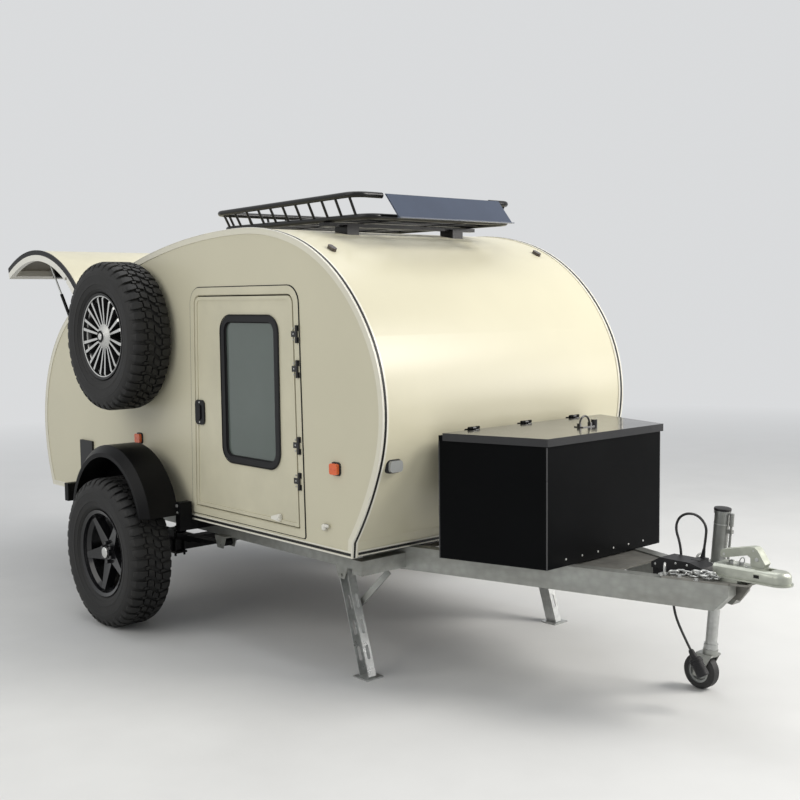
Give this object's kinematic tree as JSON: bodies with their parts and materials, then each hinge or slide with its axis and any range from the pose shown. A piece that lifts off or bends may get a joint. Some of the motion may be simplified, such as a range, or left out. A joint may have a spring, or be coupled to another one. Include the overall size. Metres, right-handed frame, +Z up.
{
  "type": "teardrop camping trailer",
  "caption": "Small two-wheeled teardrop camping trailer with cabin doors, rear galley hatch, drawbar tool box, roof rack, jockey wheel and folding front legs.",
  "frame": {"origin": "centre of the coupling's ball socket", "axes": "+X forward along the drawbar, +Y to the trailer's left, +Z up"},
  "size_m": [4.8304, 2.14, 2.055],
  "materials": {
    "black_steel": "satin black powder coat",
    "galvanised": "hot dip galvanised",
    "cream_panel": "cream gel coat panel",
    "cream_skin": "cream gel coat skin",
    "floor_board": "dark stained board",
    "interior_board": "plain board",
    "mattress_cloth": "plain grey cloth",
    "edge_white": "off-white moulding",
    "black_trim": "black trim",
    "hinge_steel": "bare steel",
    "tinted_glass": "dark tinted pane",
    "tyre_rubber": "black tyre rubber",
    "black_alloy": "black alloy",
    "silver_alloy": "silver alloy",
    "amber_lens": "amber lens",
    "clear_lens": "clear lens",
    "red_lens": "red lens",
    "gloss_black": "gloss black paint",
    "cord_rubber": "black cable"
  },
  "bodies": {
    "root": {"chassis_frame": "galvanised", "drawbar": "galvanised", "drawbar_plates": "galvanised", "front_crossbar": "galvanised", "coupling_head": "galvanised", "coupling_lever": "galvanised", "axle_and_springs": "black_steel", "floor_panel": "floor_board", "roof_shell": "cream_skin", "rear_panel": "cream_skin", "galley": "interior_board", "mattress": "mattress_cloth", "edging": "edge_white", "door_frames": "cream_panel", "hatch_mounts": "hinge_steel", "fenders": "black_steel", "spare_tyre": "tyre_rubber", "spare_rim": "silver_alloy", "wall_fittings": "black_steel", "marker_lamps": "amber_lens", "front_lamps": "clear_lens", "tail_lamps": "red_lens", "roof_rack": "black_steel", "toolbox": "black_steel", "jockey_outer_tube": "galvanised", "cable_bracket": "black_steel", "trailer_cable": "cord_rubber", "trailer_plug": "cord_rubber", "safety_chains": "galvanised", "wall_right": "cream_panel", "wall_left": "cream_panel"},
    "wheel_right": {"tyre_right": "tyre_rubber", "rim_right": "black_alloy"},
    "door_right": {"door_panel_right": "cream_panel", "door_fittings_right": "black_trim", "door_glass_right": "tinted_glass"},
    "strut_barrel_right": {"strut_barrel_right": "black_steel"},
    "strut_rod_right": {"strut_rod_right": "hinge_steel"},
    "front_leg_right": {"front_leg_right": "galvanised"},
    "leg_brace_right": {"leg_brace_right": "galvanised"},
    "wheel_left": {"tyre_left": "tyre_rubber", "rim_left": "black_alloy"},
    "door_left": {"door_panel_left": "cream_panel", "door_fittings_left": "black_trim", "door_glass_left": "tinted_glass"},
    "strut_barrel_left": {"strut_barrel_left": "black_steel"},
    "strut_rod_left": {"strut_rod_left": "hinge_steel"},
    "front_leg_left": {"front_leg_left": "galvanised"},
    "leg_brace_left": {"leg_brace_left": "galvanised"},
    "hatch": {"hatch_shell": "cream_skin", "hatch_edging": "black_trim", "hatch_ribs": "edge_white", "hatch_latches": "black_trim"},
    "toolbox_lid": {"toolbox_lid": "gloss_black"},
    "jockey_leg": {"jockey_inner_tube": "galvanised"},
    "jockey_fork": {"jockey_fork": "galvanised"},
    "jockey_wheel": {"jockey_wheel": "tyre_rubber"}
  },
  "joints": [
    {"name": "hatch_swing", "type": "hinge", "parent": "root", "child": "hatch", "pos_m": [-3.80218, 0, 1.00037], "axis": [0, 1, 0], "range_deg": [-78, 0]},
    {"name": "wheel_right_spin", "type": "hinge", "parent": "root", "child": "wheel_right", "pos_m": [-3.04, -0.96, -0.2125], "axis": [0, 1, 0], "continuous": true},
    {"name": "door_right_swing", "type": "hinge", "parent": "root", "child": "door_right", "pos_m": [-1.802, -0.76, 0.54], "axis": [0, 0, 1], "range_deg": [0, 160]},
    {"name": "strut_barrel_right_swing", "type": "hinge", "parent": "root", "child": "strut_barrel_right", "pos_m": [-3.988, -0.67, 0.829], "axis": [0, 1, 0], "range_deg": [-110.64, 1]},
    {"name": "strut_rod_right_slide", "type": "slide", "parent": "strut_barrel_right", "child": "strut_rod_right", "axis": [-0.6009, 0, 0.7993], "range_m": [-0.2187, 0.002]},
    {"name": "front_leg_right_fold", "type": "hinge", "parent": "root", "child": "front_leg_right", "pos_m": [-1.686, -0.6, -0.158], "axis": [0, 1, 0], "range_deg": [0, 98]},
    {"name": "leg_brace_right_fold", "type": "hinge", "parent": "front_leg_right", "child": "leg_brace_right", "pos_m": [-1.644, -0.571, -0.294], "axis": [0, 1, 0], "range_deg": [-0.5, 125.5]},
    {"name": "wheel_left_spin", "type": "hinge", "parent": "root", "child": "wheel_left", "pos_m": [-3.04, 0.96, -0.2125], "axis": [0, 1, 0], "continuous": true},
    {"name": "door_left_swing", "type": "hinge", "parent": "root", "child": "door_left", "pos_m": [-1.802, 0.76, 0.54], "axis": [0, 0, -1], "range_deg": [0, 160]},
    {"name": "strut_barrel_left_swing", "type": "hinge", "parent": "root", "child": "strut_barrel_left", "pos_m": [-3.988, 0.67, 0.829], "axis": [0, 1, 0], "range_deg": [-110.64, 1]},
    {"name": "strut_rod_left_slide", "type": "slide", "parent": "strut_barrel_left", "child": "strut_rod_left", "axis": [-0.6009, 0, 0.7993], "range_m": [-0.2187, 0.002]},
    {"name": "front_leg_left_fold", "type": "hinge", "parent": "root", "child": "front_leg_left", "pos_m": [-1.686, 0.6, -0.158], "axis": [0, 1, 0], "range_deg": [0, 98]},
    {"name": "leg_brace_left_fold", "type": "hinge", "parent": "front_leg_left", "child": "leg_brace_left", "pos_m": [-1.644, 0.571, -0.294], "axis": [0, 1, 0], "range_deg": [-0.5, 125.5]},
    {"name": "toolbox_lid_swing", "type": "hinge", "parent": "root", "child": "toolbox_lid", "pos_m": [-1.197, 0, 0.485], "axis": [0, -1, 0], "range_deg": [0, 100]},
    {"name": "jockey_lift", "type": "slide", "parent": "root", "child": "jockey_leg", "axis": [0.0819, 0, 0.9966], "range_m": [0, 0.19]},
    {"name": "jockey_swivel", "type": "hinge", "parent": "jockey_leg", "child": "jockey_fork", "pos_m": [-0.46507, 0.29, -0.41057], "axis": [0.0819, 0, 0.9966], "continuous": true},
    {"name": "jockey_wheel_spin", "type": "hinge", "parent": "jockey_fork", "child": "jockey_wheel", "pos_m": [-0.5069, 0.29, -0.50446], "axis": [0, 1, 0], "continuous": true}
  ],
  "couplings": [
    {"joint": "strut_barrel_right_swing", "follows": "hatch_swing", "ratio": 1.4056},
    {"joint": "strut_rod_right_slide", "follows": "hatch_swing", "m_per_rad": 0.15915},
    {"joint": "leg_brace_right_fold", "follows": "front_leg_right_fold", "ratio": 1.2755},
    {"joint": "strut_barrel_left_swing", "follows": "hatch_swing", "ratio": 1.4056},
    {"joint": "strut_rod_left_slide", "follows": "hatch_swing", "m_per_rad": 0.15915},
    {"joint": "leg_brace_left_fold", "follows": "front_leg_left_fold", "ratio": 1.2755}
  ]
}
